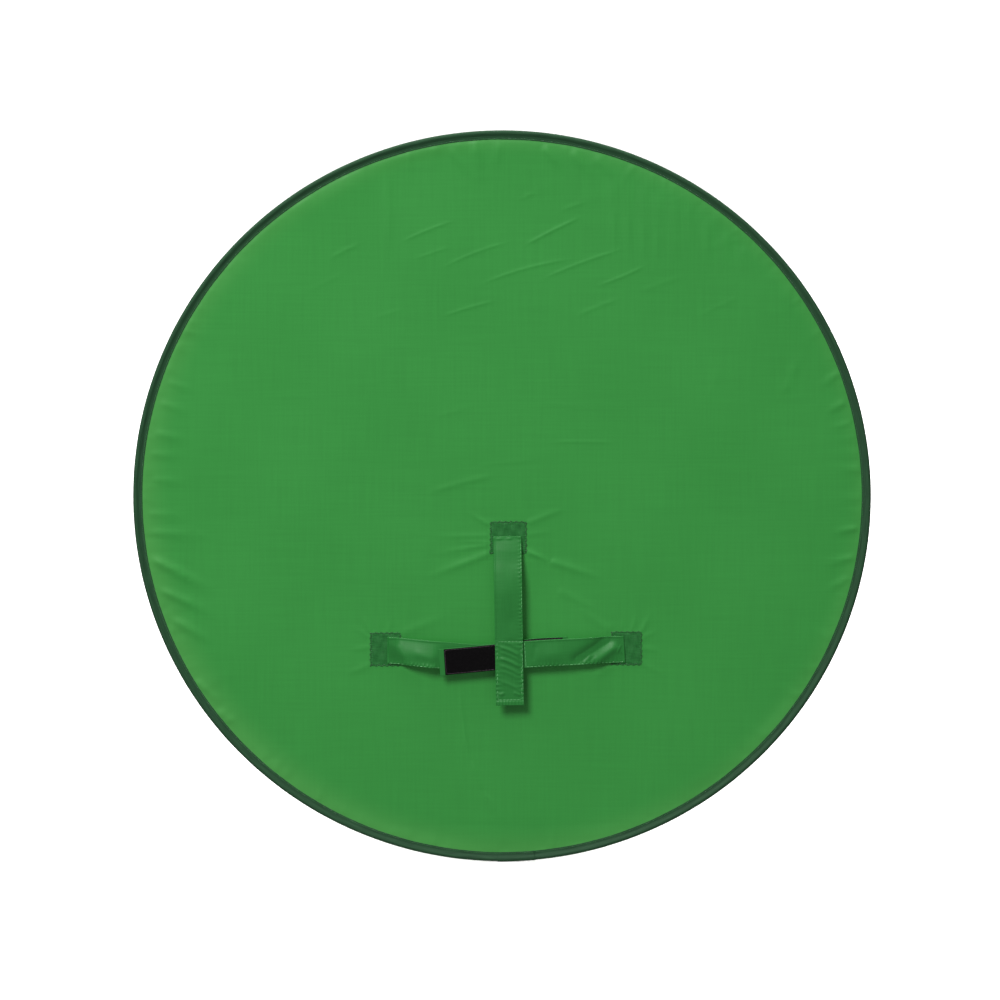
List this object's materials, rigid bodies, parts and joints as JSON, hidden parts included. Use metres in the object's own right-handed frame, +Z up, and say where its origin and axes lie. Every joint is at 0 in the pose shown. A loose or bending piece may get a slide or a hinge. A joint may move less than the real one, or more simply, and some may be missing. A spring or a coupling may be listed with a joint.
{
  "type": "chair backdrop screen",
  "caption": "Round pop-up green cloth backdrop on a spring-steel hoop, with folding hook-and-loop straps that hold it on a chair back.",
  "frame": {"origin": "on the screen's front face, midway between the two side patches, where the chair's back sits", "axes": "+X to the right along the screen seen from its strap side, +Y through the screen towards its back, +Z up"},
  "size_m": [1.42, 0.0287, 1.4205],
  "materials": {
    "screen_cloth": "smooth green polyester cloth, thin coating, slight sheen",
    "binding_tape": "dark green woven tape",
    "patch_cloth": "doubled green cloth, sewn down",
    "strap_cloth": "doubled green cloth, satin sheen",
    "loop_pile": "black brushed loop tape",
    "hook_tape": "black woven tape with moulded hooks",
    "thread": "green polyester sewing thread",
    "spring_steel": "blued flat spring steel",
    "ferrule_steel": "crimped plain steel sleeve"
  },
  "bodies": {
    "screen": {"screen_panel": "screen_cloth", "spring_hoop": "spring_steel", "hoop_ferrule": "ferrule_steel", "edge_binding": "binding_tape", "rim_stitching": "thread", "left_patch": "patch_cloth", "right_patch": "patch_cloth", "top_patch": "patch_cloth", "left_patch_stitching": "thread", "right_patch_stitching": "thread", "top_patch_stitching": "thread", "left_strap_tail": "strap_cloth", "right_strap_tail": "strap_cloth", "vertical_strap_tail": "strap_cloth"},
    "left_strap": {"left_strap_web": "strap_cloth", "left_strap_loop_pad": "loop_pile", "left_strap_stitching": "thread"},
    "right_strap": {"right_strap_web": "strap_cloth", "right_strap_loop_pad": "loop_pile", "right_strap_hook_pad": "hook_tape", "right_strap_stitching": "thread"},
    "vertical_strap": {"vertical_strap_web": "strap_cloth", "vertical_strap_hook_pad": "hook_tape", "vertical_strap_stitching": "thread"}
  },
  "joints": [
    {"name": "vertical_strap_fold", "type": "hinge", "parent": "screen", "child": "vertical_strap", "pos_m": [0.0027, -0.0026, 0.218], "axis": [-0.9999, 0, -0.0157], "range_deg": [0, 165]},
    {"name": "right_strap_fold", "type": "hinge", "parent": "screen", "child": "right_strap", "pos_m": [0.2273, -0.0026, -0.0008], "axis": [-0.0663, 0, 0.9978], "range_deg": [0, 165]},
    {"name": "left_strap_fold", "type": "hinge", "parent": "screen", "child": "left_strap", "pos_m": [-0.2273, -0.0026, -0.0028], "axis": [-0.0035, 0, -1], "range_deg": [0, 165]}
  ],
  "couplings": [
    {"joint": "right_strap_fold", "follows": "vertical_strap_fold", "ratio": 0.75},
    {"joint": "left_strap_fold", "follows": "vertical_strap_fold", "ratio": 0.22}
  ]
}
